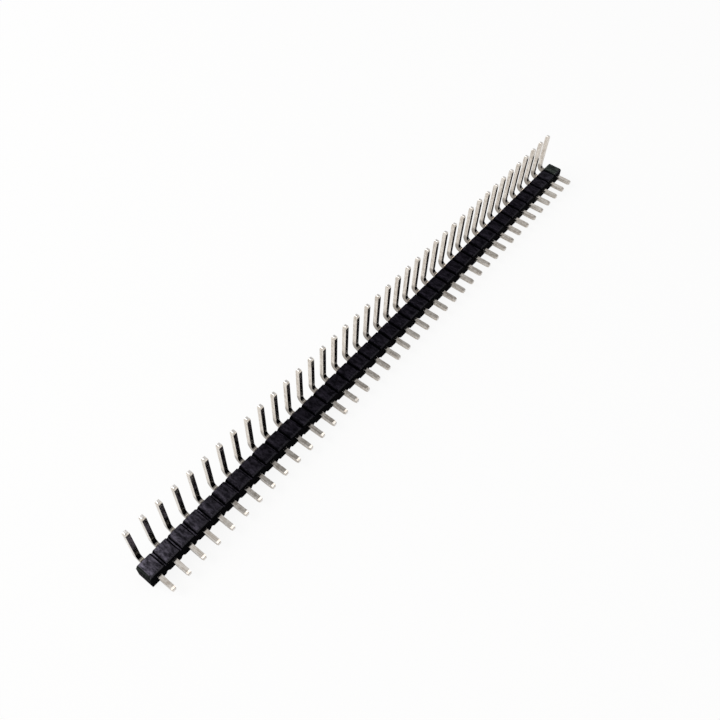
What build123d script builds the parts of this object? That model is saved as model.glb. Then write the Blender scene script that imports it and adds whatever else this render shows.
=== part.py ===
from build123d import *
from math import atan2, degrees
import os

# A breakaway strip of right-angle pins. X runs along the row, the solder tails point to -Y and the
# bent posts stand up along +Z. The origin is the middle of the row, where the axes of the tails
# cross the face of the insulator that meets the circuit board.

# Row
pitch = 2.54
positions = 40

# Insulator
insulator_depth = 2.54
insulator_height = 2.54
top_edge_radius = 0.30

# Snap grooves between the cells, deeper above than below
groove_mouth = 0.68
groove_floor = 0.16
top_groove_depth = 0.55
under_groove_depth = 0.40
groove_edge_radius = 0.06

# Square pins
pin_side = 0.64
tail_length = 2.80
mating_length = 6.03
post_reach = 1.27
bend_radius = 0.55
tip_length = 0.40
tip_side = 0.48
tip_edge_radius = 0.12

# Gap all round between a pin and its hole
hole_clearance = 0.01

strip_length = pitch * positions
half_height = insulator_height / 2
post_axis_y = insulator_depth + post_reach
post_top_z = half_height + mating_length


def pin_x(number):
    """X of the axis of a pin, counted from 1 at the low end of the row."""
    return (number - (positions + 1) / 2) * pitch


def groove_section(depth):
    """Trapezoid with its wide side on the local X axis and its floor below."""
    mouth = groove_mouth / 2
    floor = groove_floor / 2
    corners = [(-mouth, 0), (-floor, -depth), (floor, -depth), (mouth, 0)]
    return make_face(Polyline(*corners, close=True))


def strip_section():
    """Front view of the strip: a row of cells, grooved at each joint and bevelled above each end."""
    top_groove = groove_section(top_groove_depth)
    under_groove = Rot(0, 0, 180) * groove_section(under_groove_depth)
    section = Rectangle(strip_length, insulator_height)
    for joint in range(positions + 1):
        x = joint * pitch - strip_length / 2
        section -= Pos(x, half_height) * top_groove
        if 0 < joint < positions:
            section -= Pos(x, -half_height) * under_groove
    mouth_corners = [v for v in section.vertices() if abs(abs(v.Y) - half_height) < 1e-6]
    return fillet(mouth_corners, groove_edge_radius)


def make_insulator():
    """One moulding: grooved cells, long edges rounded above, and a square hole for each pin."""
    envelope = Pos(0, insulator_depth / 2, 0) * Box(strip_length, insulator_depth, insulator_height)
    long_edges = envelope.edges().filter_by(Axis.X).sort_by(Axis.Z)
    envelope = fillet(long_edges[2:], top_edge_radius)
    cells = extrude(Plane.XZ * strip_section(), -insulator_depth)
    hole_side = pin_side + 2 * hole_clearance
    hole = Pos(0, insulator_depth / 2, 0) * Box(hole_side, insulator_depth, hole_side)
    holes = [Pos(pin_x(number), 0, 0) * hole for number in range(1, positions + 1)]
    return (envelope & cells) - holes


def tip(end):
    """Tapered and rounded end of a pin, grown from the square face where the taper starts."""
    taper = degrees(atan2((pin_side - tip_side) / 2, tip_length))
    point = extrude(end, tip_length, taper=taper)
    point_end = point.faces().sort_by_distance(end.center())[-1]
    return fillet(point_end.edges(), tip_edge_radius)


def make_pin():
    """Square wire: a straight tail, a round bend behind the insulator and an upright post."""
    half = pin_side / 2
    tail_y = tip_length - tail_length
    post_z = post_top_z - tip_length
    outline = [
        (tail_y, -half),
        (post_axis_y + half, -half),
        (post_axis_y + half, post_z),
        (post_axis_y - half, post_z),
        (post_axis_y - half, half),
        (tail_y, half),
    ]
    side = make_face(Polyline(*outline, close=True))
    outer_corner = side.vertices().sort_by_distance((post_axis_y + half, -half, 0))[0]
    side = fillet(outer_corner, bend_radius + pin_side)
    inner_corner = side.vertices().sort_by_distance((post_axis_y - half, half, 0))[0]
    side = fillet(inner_corner, bend_radius)
    wire = extrude(Plane.YZ * side, half, both=True)
    tail_end = wire.faces().sort_by(Axis.Y)[0]
    post_end = wire.faces().sort_by(Axis.Z)[-1]
    return wire + tip(tail_end) + tip(post_end)


os.makedirs("parts", exist_ok=True)
export_step(make_insulator(), "parts/insulator.step")
pin = make_pin()
for number in range(1, positions + 1):
    export_step(Pos(pin_x(number), 0, 0) * pin, f"parts/pin_{number:02d}.step")
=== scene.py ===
import math
import bpy
from mathutils import Matrix, Vector


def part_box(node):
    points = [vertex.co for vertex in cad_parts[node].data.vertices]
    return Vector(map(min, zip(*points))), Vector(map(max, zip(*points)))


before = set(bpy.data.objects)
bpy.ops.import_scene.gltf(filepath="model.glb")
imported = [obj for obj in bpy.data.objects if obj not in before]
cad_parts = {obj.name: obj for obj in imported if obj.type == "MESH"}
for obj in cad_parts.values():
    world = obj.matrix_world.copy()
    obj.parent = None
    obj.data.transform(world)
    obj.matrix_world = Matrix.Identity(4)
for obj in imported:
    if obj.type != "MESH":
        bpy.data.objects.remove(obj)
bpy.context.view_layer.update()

mm = 0.001  # everything here is in metres

low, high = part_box("insulator")
pinLow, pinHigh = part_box("pin_01")
cells = 40
pitch = (high[0] - low[0]) / cells

# settings that many nodes share
plus = {"operation": "ADD"}
minus = {"operation": "SUBTRACT"}
times = {"operation": "MULTIPLY"}
divide = {"operation": "DIVIDE"}
power = {"operation": "POWER"}
larger = {"operation": "MAXIMUM"}
smooth = {"interpolation_type": "SMOOTHSTEP"}
blend = {"data_type": "RGBA"}
blendPast = {"data_type": "RGBA", "clamp_factor": False}  # over 1 it goes past the second colour


def srgb(code):  # "#rrggbb" to linear RGBA
    parts = [int(code[i:i + 2], 16) / 255 for i in (1, 3, 5)]
    return [c / 12.92 if c <= 0.04045 else ((c + 0.055) / 1.055) ** 2.4 for c in parts] + [1.0]


def addNode(tree, kind, settings=None, inputs=()):  # one node, with its settings and links
    node = tree.nodes.new("ShaderNode" + kind)
    for name, value in (settings or {}).items():
        setattr(node, name, value)
    if not isinstance(inputs, dict):  # a plain row fills the sockets in use, in their order
        inUse = [number for number, socket in enumerate(node.inputs) if socket.enabled]
        inputs = dict(zip(inUse, inputs))
    for socket, value in inputs.items():
        if isinstance(value, bpy.types.Node):  # a node stands for its first output in use
            value = next(output for output in value.outputs if output.enabled)
        if isinstance(value, bpy.types.NodeSocket):
            tree.links.new(value, node.inputs[socket])
        else:
            node.inputs[socket].default_value = value
    return node


def newMaterial(name):
    material = bpy.data.materials.new(name)
    material.use_nodes = True
    material.node_tree.nodes.clear()
    return material, material.node_tree


def setStops(ramp, stops):  # stops are (place, grey level) pairs
    elements = ramp.color_ramp.elements
    while len(elements) < len(stops):
        elements.new(1.0)
    for element, (place, level) in zip(elements, stops):
        element.position = place
        element.color = (level, level, level, 1.0)


def alongCell(tree, x):  # 0 to 1 from one groove to the next
    fromLow = addNode(tree, "Math", minus, (x, low[0]))
    inCells = addNode(tree, "Math", divide, (fromLow, pitch))
    return addNode(tree, "Math", {"operation": "FRACT"}, (inCells,))


# Insulator: glass-filled polyester (PBT), injection moulded in a spark-eroded tool.
# To the eye it is a dead black. Only the faces that look up carry a purple-grey painted sheen,
# which is painted brighter towards the low end and beside each groove, and lighter and greener at
# the snapped ends.
# Each pair below is where a change starts and where it is complete, or its two values there.
insulatorLook = {
    "deep": "#040406",
    # painted sheen on the faces that look up: plain, brighter towards the ends, and at the
    # snapped ends
    "sheen": "#18161c",
    "brightSheen": "#46434c",
    "endSheen": "#343835",
    "edgeHighlight": "#302f34",         # painted highlight on the front top edge
    "edgeHighlightBright": "#4c4a50",  # the same where the painted sheen is brighter
    "roughness": (0.46, 0.62),
    "ior": 1.57,
    "specular": 0.003,
    "brightSheenReach": 40 * mm,     # from the low end of the row
    "brightSheenFade": 3.7,
    "brightSheenAcross": (0.75, 1.3),  # at the front and at the back of the top
    "farReach": 16 * mm,         # from the high end
    "farStrength": 0.5,
    "farFade": 2.0,
    "lowEnd": (0.36 * mm, 0.3 * mm),     # from the low end
    "highEnd": (2.415 * mm, 2.3 * mm),   # from the high end
    "facingUp": (0.55, 0.95),
    "wallFacing": (-0.3, -0.6),  # painted sheen on the upper part of the groove walls that face the low end
    "wallDepth": (0.32 * mm, 0.04 * mm),
    "wallStrength": 0.8,
    "grooveFloorDepth": (0.40 * mm, 0.52 * mm),   # painted sheen, stronger down in the grooves
    "grooveFloorStrength": 2.2,
    "bevelFacing": (0.1, 0.4),   # the low end's bevel gets the painted sheen evenly
    "bevelStrength": 0.5,
    "cellShade": [               # painted light and shade from one groove to the next
        (0.0, 0.5), (0.1, 0.6), (0.17, 0.8), (0.24, 0.78),
        (0.4, 0.55), (0.7, 0.48), (0.8, 0.54), (0.88, 0.5),
    ],
    "cellShadeStrength": 2.0,
    "mottleSize": (0.4 * mm, 1.0 * mm, 0.6 * mm),  # flow marks run across the strip
    "mottleRange": (0.36, 0.68),
    "mottleStrength": (0.3, 2.2),
    "roughRange": (0.3, 0.7),
    "edgeHighlightReach": (0.225 * mm, 0.135 * mm),  # from the front
    "edgeHighlightDepth": (0.3 * mm, 0.195 * mm),    # from the top
    "edgeHighlightRange": (0.35, 0.55),
    "edgeHighlightStrength": (0.4, 1.0),
    "grainSize": 0.14 * mm,      # finer in a real spark-eroded tool, so drawn coarser
    "grainHeight": 0.003 * mm,
}


def makePlastic(look):
    material, tree = newMaterial("mouldedBlackPolyester")
    coordinates = addNode(tree, "TexCoord").outputs
    place = coordinates["Object"]
    x, y, z = addNode(tree, "SeparateXYZ", {}, (place,)).outputs
    sideways, _, upward = addNode(tree, "SeparateXYZ", {}, (coordinates["Normal"],)).outputs
    drawnOut = addNode(tree, "VectorMath", divide, (place, look["mottleSize"]))
    mottle = addNode(tree, "TexNoise", {}, {
        "Vector": drawnOut, "Scale": 1.0, "Detail": 5.0, "Roughness": 0.7})
    grain = addNode(tree, "TexNoise", {}, {
        "Vector": place, "Scale": 1 / look["grainSize"], "Detail": 3.0, "Roughness": 0.6})

    # painted sheen, brighter towards the low end of the row and a little at the other end
    brightSheen = addNode(tree, "MapRange", {}, (x, low[0] + look["brightSheenReach"], low[0]))
    brightSheen = addNode(tree, "Math", power, (brightSheen, look["brightSheenFade"]))
    across = addNode(tree, "MapRange", smooth, (y, low[1], high[1], *look["brightSheenAcross"]))
    brightSheen = addNode(tree, "Math", times, (brightSheen, across))
    farEnd = addNode(tree, "MapRange", {}, (
        x, high[0] - look["farReach"], high[0], 0.0, look["farStrength"]))
    farEnd = addNode(tree, "Math", power, (farEnd, look["farFade"]))
    brightSheen = addNode(tree, "Math", larger, (brightSheen, farEnd))
    sheen = addNode(tree, "Mix", blendPast, (
        brightSheen, srgb(look["sheen"]), srgb(look["brightSheen"])))

    # snapped ends: the painted sheen is lighter and greener there
    lowReach = [low[0] + reach for reach in look["lowEnd"]]
    highReach = [high[0] - reach for reach in look["highEnd"]]
    lowEnd = addNode(tree, "MapRange", smooth, (x, *lowReach))
    highEnd = addNode(tree, "MapRange", smooth, (x, *highReach))
    atEnds = addNode(tree, "Math", larger, (lowEnd, highEnd))
    sheen = addNode(tree, "Mix", blend, (atEnds, sheen, srgb(look["endSheen"])))

    # where the painted sheen shows: the faces that look up, the upper part of each groove's wall
    # and its floor
    lookingUp = addNode(tree, "MapRange", smooth, (upward, *look["facingUp"]))
    wallHeight = [high[2] - depth for depth in look["wallDepth"]]
    wallSide = addNode(tree, "MapRange", smooth, (sideways, *look["wallFacing"]))
    wallTop = addNode(tree, "MapRange", smooth, (z, *wallHeight, 0.0, look["wallStrength"]))
    wall = addNode(tree, "Math", times, (wallSide, wallTop))
    shown = addNode(tree, "Math", larger, (lookingUp, wall))
    # painted sheen, stronger on the groove floors
    grooveFloorHeight = [high[2] - depth for depth in look["grooveFloorDepth"]]
    grooveFloorSheen = addNode(tree, "MapRange", smooth, (z, *grooveFloorHeight, 1.0, look["grooveFloorStrength"]))
    shown = addNode(tree, "Math", times, (shown, grooveFloorSheen))
    cellShade = addNode(tree, "ValToRGB", {}, (alongCell(tree, x),))
    setStops(cellShade, look["cellShade"])
    cellShade = addNode(tree, "Math", times, (cellShade, look["cellShadeStrength"]))
    shown = addNode(tree, "Math", times, (shown, cellShade))
    # the low end's tilted faces get the painted sheen too
    bevel = addNode(tree, "MapRange", smooth, (
        upward, *look["bevelFacing"], 0.0, look["bevelStrength"]))
    shown = addNode(tree, "Mix", {}, (lowEnd, shown, bevel))
    streaks = addNode(tree, "MapRange", smooth, (
        mottle, *look["mottleRange"], *look["mottleStrength"]))
    shown = addNode(tree, "Math", times, (shown, streaks))
    tone = addNode(tree, "Mix", blendPast, (shown, srgb(look["deep"]), sheen))

    # painted highlight along the front top edge of the whole row
    edgeHighlightReach = [low[1] + reach for reach in look["edgeHighlightReach"]]
    edgeHighlightHeight = [high[2] - depth for depth in look["edgeHighlightDepth"]]
    nearFront = addNode(tree, "MapRange", smooth, (y, *edgeHighlightReach))
    nearTop = addNode(tree, "MapRange", smooth, (z, *edgeHighlightHeight))
    edge = addNode(tree, "Math", times, (nearFront, nearTop))
    broken = addNode(tree, "MapRange", smooth, (
        mottle, *look["edgeHighlightRange"], *look["edgeHighlightStrength"]))
    edge = addNode(tree, "Math", times, (edge, broken))
    highlightTone = addNode(tree, "Mix", blend, (
        brightSheen, srgb(look["edgeHighlight"]), srgb(look["edgeHighlightBright"])))
    tone = addNode(tree, "Mix", blend, (edge, tone, highlightTone))

    rough = addNode(tree, "MapRange", smooth, (mottle, *look["roughRange"], *look["roughness"]))
    bump = addNode(tree, "Bump", {}, {
        "Height": grain, "Distance": look["grainHeight"], "Strength": 1.0})
    shader = addNode(tree, "BsdfPrincipled", {}, {
        "Base Color": tone, "Roughness": rough, "IOR": look["ior"],
        "Specular IOR Level": look["specular"], "Normal": bump})
    addNode(tree, "OutputMaterial", {}, {"Surface": shader})
    return material


# Pins: brass wire drawn square and plated with bright tin.
# The plating is a warm pale grey mirror with faint lines along the wire. It is duller along the
# edges and on the cut ends, which are painted whiter as a highlight, and painted darker as shade
# inside the bend.
# Pairs are read as in insulatorLook.
pinLook = {
    "plate": "#f0eae2",
    "shade": "#c3b9ae",
    # painted highlight, on the long edges and cut ends
    "edge": "#f2eeea",
    "bent": "#a8a199",
    "roughness": (0.1, 0.2),
    "roughRange": (0.3, 0.7),
    "edgeRoughness": 0.38,
    "lineSpacing": 0.09 * mm,    # finer on the real wire, so drawn coarser
    "lineLength": 3.0 * mm,
    "lineHeight": 0.00012 * mm,
    "lineShare": 0.6,
    "patchSize": 0.45 * mm,
    "patchShare": 0.4,
    "toneRange": (0.38, 0.6),
    "postStart": 0.5 * mm,       # above it, the lines run up the post
    "edgeReach": (0.25 * mm, 0.278 * mm),  # from the middle of a pin
    "edgeStart": (0.27 * mm, 0.31 * mm),   # height of a tail's upper face
    "edgeStop": (0.36 * mm, 0.33 * mm),
    "edgeRange": (0.4, 0.6),
    "edgeStrength": (0.3, 1.0),
    "cutDepth": (0.06 * mm, 0.02 * mm),    # from the ends of the wire
    "bendReach": (0.05 * mm, 0.25 * mm),   # from the back of the insulator
    "bendTop": (1.5 * mm, 0.9 * mm),
}


def makePlating(look):
    material, tree = newMaterial("brightTinOnDrawnBrass")
    place = addNode(tree, "TexCoord").outputs["Object"]
    x, y, z = addNode(tree, "SeparateXYZ", {}, (place,)).outputs

    # lines drawn along the wire: noise pulled out along Y in the tails and along Z in the posts
    across = 1 / look["lineSpacing"]
    along = 1 / look["lineLength"]
    drawnLines = []
    for scale in ((across, along, across), (across, across, along)):
        drawnOut = addNode(tree, "VectorMath", times, (place, scale))
        drawnLines.append(addNode(tree, "TexNoise", {}, {
            "Vector": drawnOut, "Scale": 1.0, "Detail": 2.0}))
    onPost = addNode(tree, "Math", {"operation": "GREATER_THAN"}, (z, look["postStart"]))
    lines = addNode(tree, "Mix", {}, (onPost, *drawnLines))
    patches = addNode(tree, "TexNoise", {}, {
        "Vector": place, "Scale": 1 / look["patchSize"], "Detail": 2.0})
    lineTone = addNode(tree, "Math", times, (lines, look["lineShare"]))
    patchTone = addNode(tree, "Math", times, (patches, look["patchShare"]))
    both = addNode(tree, "Math", plus, (lineTone, patchTone))
    both = addNode(tree, "MapRange", smooth, (both, *look["toneRange"]))
    tone = addNode(tree, "Mix", blend, (both, srgb(look["shade"]), srgb(look["plate"])))

    # painted highlight on the long edges beside the upper face of the tails
    offCentre = addNode(tree, "Math", minus, (alongCell(tree, x), 0.5))  # pins are mid cell
    offCentre = addNode(tree, "Math", {"operation": "ABSOLUTE"}, (offCentre,))
    edgeReach = [reach / pitch for reach in look["edgeReach"]]
    border = addNode(tree, "MapRange", smooth, (offCentre, *edgeReach))
    above = addNode(tree, "MapRange", smooth, (z, *look["edgeStart"]))
    border = addNode(tree, "Math", times, (border, above))
    below = addNode(tree, "MapRange", smooth, (z, *look["edgeStop"]))
    border = addNode(tree, "Math", times, (border, below))
    broken = addNode(tree, "MapRange", smooth, (
        patches, *look["edgeRange"], *look["edgeStrength"]))
    border = addNode(tree, "Math", times, (border, broken))

    # painted highlight on the cut ends
    tailCut = [pinLow[1] + depth for depth in look["cutDepth"]]
    postCut = [pinHigh[2] - depth for depth in look["cutDepth"]]
    tailEnd = addNode(tree, "MapRange", smooth, (y, *tailCut))
    postEnd = addNode(tree, "MapRange", smooth, (z, *postCut))
    cut = addNode(tree, "Math", larger, (tailEnd, postEnd))
    white = addNode(tree, "Math", larger, (border, cut))
    tone = addNode(tree, "Mix", blend, (white, tone, srgb(look["edge"])))

    # inside of the bend: painted shade
    bendReach = [high[1] + reach for reach in look["bendReach"]]
    behind = addNode(tree, "MapRange", smooth, (y, *bendReach))
    under = addNode(tree, "MapRange", smooth, (z, *look["bendTop"]))
    bend = addNode(tree, "Math", times, (behind, under))
    tone = addNode(tree, "Mix", blend, (bend, tone, srgb(look["bent"])))

    rough = addNode(tree, "MapRange", smooth, (patches, *look["roughRange"], *look["roughness"]))
    rough = addNode(tree, "Mix", {}, (white, rough, look["edgeRoughness"]))
    bump = addNode(tree, "Bump", {}, {
        "Height": lines, "Distance": look["lineHeight"], "Strength": 1.0})
    shader = addNode(tree, "BsdfPrincipled", {}, {
        "Base Color": tone, "Metallic": 1.0, "Roughness": rough, "Normal": bump})
    addNode(tree, "OutputMaterial", {}, {"Surface": shader})
    return material


plastic = makePlastic(insulatorLook)
plating = makePlating(pinLook)
for name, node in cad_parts.items():
    finish = plastic if name == "insulator" else plating
    for holder in node.material_slots:
        holder.material = finish
print("materials on", len(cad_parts), "nodes")

# Table: white paper
floorLook = {
    "size": 3.0,
    "colour": "#f6f5f3",
    "shadowShare": 0.1,    # how much of the paper's own shading the camera sees
    "mirroredWhite": 0.3,  # how much of the plain white the plating mirrors
}


def makeFloor(look):
    half = look["size"] / 2
    corners = [(-half, -half, 0), (half, -half, 0), (half, half, 0), (-half, half, 0)]
    mesh = bpy.data.meshes.new("table")
    mesh.from_pydata(corners, [], [(0, 1, 2, 3)])
    table = bpy.data.objects.new("table", mesh)
    bpy.context.scene.collection.objects.link(table)
    table.location.z = low[2]
    material, tree = newMaterial("whitePaper")
    rays = addNode(tree, "LightPath").outputs
    mirrored = addNode(tree, "Math", plus, (rays["Is Glossy Ray"], rays["Is Transmission Ray"]))
    mirrored = addNode(tree, "Math", times, (mirrored, look["mirroredWhite"]))
    share = addNode(tree, "Math", times, (rays["Is Camera Ray"], 1 - look["shadowShare"]))
    share = addNode(tree, "Math", plus, (share, mirrored))
    paper = addNode(tree, "BsdfDiffuse", {}, {"Color": srgb(look["colour"])})
    white = addNode(tree, "Emission", {}, {"Color": (1, 1, 1, 1), "Strength": 1.0})
    both = addNode(tree, "MixShader", {}, (share, paper, white))
    addNode(tree, "OutputMaterial", {}, {"Surface": both})
    mesh.materials.append(material)


makeFloor(floorLook)

# Light: a pale room, brighter low down, a large window behind and to the left, a small soft box
# over the near end and a long tube over the row, which the tips of the pins mirror.
# A lamp's brightness is what a mirror would show of it, where 1 is white.
lightPlan = {
    "sky": [  # sine of the elevation, brightness
        (0.0, 0.5), (0.58, 0.72), (0.72, 0.37), (0.8, 0.37), (1.0, 0.27),
    ],
    "lamps": {
        "window": {
            "place": (-0.3, 0.32, 0.32), "size": (0.4, 0.4), "brightness": 4.2, "aimed": True},
        "nearBox": {
            "place": (-0.024, 0.104, 0.226), "size": (0.09, 0.09), "brightness": 0.4,
            "aimed": True},
        "tube": {
            "place": (0.045, -0.005, 0.3), "size": (0.19, 0.06), "brightness": 1.4,
            "aimed": False},
    },
}


def makeLamp(name, look):
    wide, tall = look["size"]
    lamp = bpy.data.lights.new(name, "AREA")
    lamp.shape = "RECTANGLE"
    lamp.size = wide
    lamp.size_y = tall
    lamp.energy = look["brightness"] * math.pi * wide * tall
    holder = bpy.data.objects.new(name, lamp)
    holder.location = look["place"]
    if look["aimed"]:  # at the middle of the row; a lamp that isn't shines straight down
        holder.rotation_euler = (-Vector(look["place"])).to_track_quat("-Z", "Y").to_euler()
    holder.visible_camera = False
    bpy.context.scene.collection.objects.link(holder)


def makeLight(plan):
    world = bpy.data.worlds.new("studio")
    world.use_nodes = True
    tree = world.node_tree
    tree.nodes.clear()
    direction = addNode(tree, "TexCoord").outputs["Generated"]
    height = addNode(tree, "SeparateXYZ", {}, (direction,)).outputs["Z"]
    shade = addNode(tree, "ValToRGB", {}, (height,))
    setStops(shade, plan["sky"])
    sky = addNode(tree, "Background", {}, {"Color": shade})
    addNode(tree, "OutputWorld", {}, {"Surface": sky})
    bpy.context.scene.world = world
    for name, look in plan["lamps"].items():
        makeLamp(name, look)


makeLight(lightPlan)
print("table and light made")

# Camera, from the pixels of the 720 x 720 photograph
cameraView = {
    "azimuth": -54.138,
    "elevation": 52.880,
    "roll": 3.156,
    "distance": 110.838 * mm,
    "target": (-7.944 * mm, 1.632 * mm, 0),
    "focalPixels": 736.57,
    "framePixels": 720,
    "sensor": 36.0,
    "clip": (5 * mm, 10.0),
}


def makeCamera(look):
    turn, lift, roll = (math.radians(look[k]) for k in ("azimuth", "elevation", "roll"))
    flat = math.cos(lift)
    back = Vector((math.sin(turn) * flat, -math.cos(turn) * flat, math.sin(lift)))
    right = Vector((0, 0, 1)).cross(back).normalized()
    up = back.cross(right)
    across = right * math.cos(roll) + up * math.sin(roll)
    upright = up * math.cos(roll) - right * math.sin(roll)
    lens = bpy.data.cameras.new("camera")
    lens.sensor_width = look["sensor"]
    lens.lens = look["focalPixels"] / look["framePixels"] * look["sensor"]
    lens.clip_start, lens.clip_end = look["clip"]
    eye = bpy.data.objects.new("camera", lens)
    place = Vector(look["target"]) + back * look["distance"]
    axes = Matrix((across, upright, back)).transposed().to_4x4()
    eye.matrix_world = Matrix.Translation(place) @ axes
    bpy.context.scene.collection.objects.link(eye)
    bpy.context.scene.camera = eye


makeCamera(cameraView)
bpy.context.scene.view_settings.view_transform = "Standard"
print("camera set")
